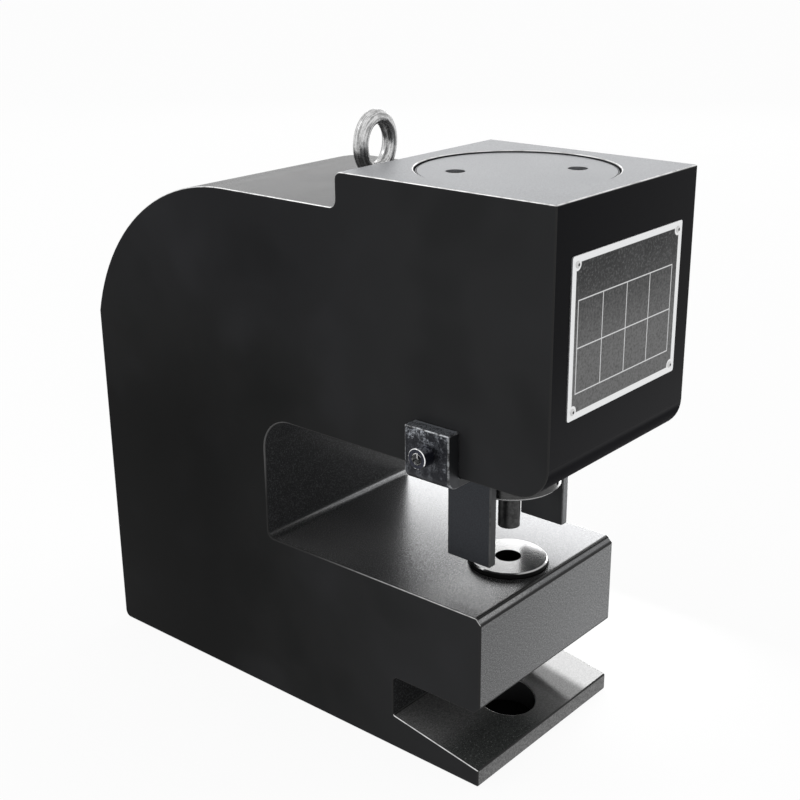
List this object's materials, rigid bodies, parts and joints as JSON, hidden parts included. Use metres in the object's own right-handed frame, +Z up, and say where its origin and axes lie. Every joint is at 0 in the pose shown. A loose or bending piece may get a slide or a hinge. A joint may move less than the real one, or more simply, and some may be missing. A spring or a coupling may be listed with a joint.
{
  "type": "hydraulic hole punch",
  "caption": "Steel C-frame hole punch: a hydraulic ram in the head drives a punch through sheet lying on a die in the jaw, with side strippers and a lifting eye.",
  "frame": {"origin": "middle of the bounding box, on the bench that the base stands on", "axes": "+Z up, the head's nameplate faces -Y, +X to the right of someone who faces the nameplate"},
  "size_m": [0.189, 0.3962, 0.4055],
  "materials": {
    "black_paint": "satin black paint",
    "blackened_steel": "blackened steel with worn edges",
    "black_oxide": "black oxide",
    "bright_steel": "turned and ground steel",
    "tool_steel": "hardened tool steel",
    "spring_steel": "oiled spring steel",
    "zinc_plate": "bright zinc plate",
    "bronze": "machined bronze",
    "seal_rubber": "black nitrile",
    "polyurethane": "blue polyurethane",
    "guide_plastic": "fabric-filled resin",
    "etched_plate": "etched and filled sheet",
    "rivet_metal": "bare aluminium"
  },
  "bodies": {
    "frame": {"frame": "black_paint", "top_cap": "black_paint", "cap_seal": "seal_rubber", "return_spring": "spring_steel", "rod_bush": "bronze", "rod_wiper": "polyurethane", "die": "bright_steel", "die_set_screw": "black_oxide", "left_stripper": "blackened_steel", "right_stripper": "blackened_steel", "left_stripper_screw": "black_oxide", "right_stripper_screw": "black_oxide", "eye_bolt": "zinc_plate", "nameplate": "etched_plate", "nameplate_rivets": "rivet_metal", "coupler_body": "zinc_plate", "coupler_seal": "seal_rubber", "coupler_spring": "spring_steel", "coupler_retainer": "spring_steel"},
    "ram": {"ram": "bright_steel", "piston_seal": "polyurethane", "piston_guide_ring": "guide_plastic", "punch_nut": "bright_steel", "punch": "tool_steel"},
    "coupler_valve": {"coupler_valve": "bronze"}
  },
  "joints": [
    {"name": "ram_stroke", "type": "slide", "parent": "frame", "child": "ram", "axis": [0, 0, -1], "range_m": [0, 0.025], "stiffness_N_per_m": 22000, "springref_m": -0.0175, "deforming": ["return_spring"]},
    {"name": "coupler_valve_push", "type": "slide", "parent": "frame", "child": "coupler_valve", "axis": [0, -1, 0], "range_m": [0, 0.003], "stiffness_N_per_m": 600, "springref_m": -0.006, "deforming": ["coupler_spring"]}
  ]
}
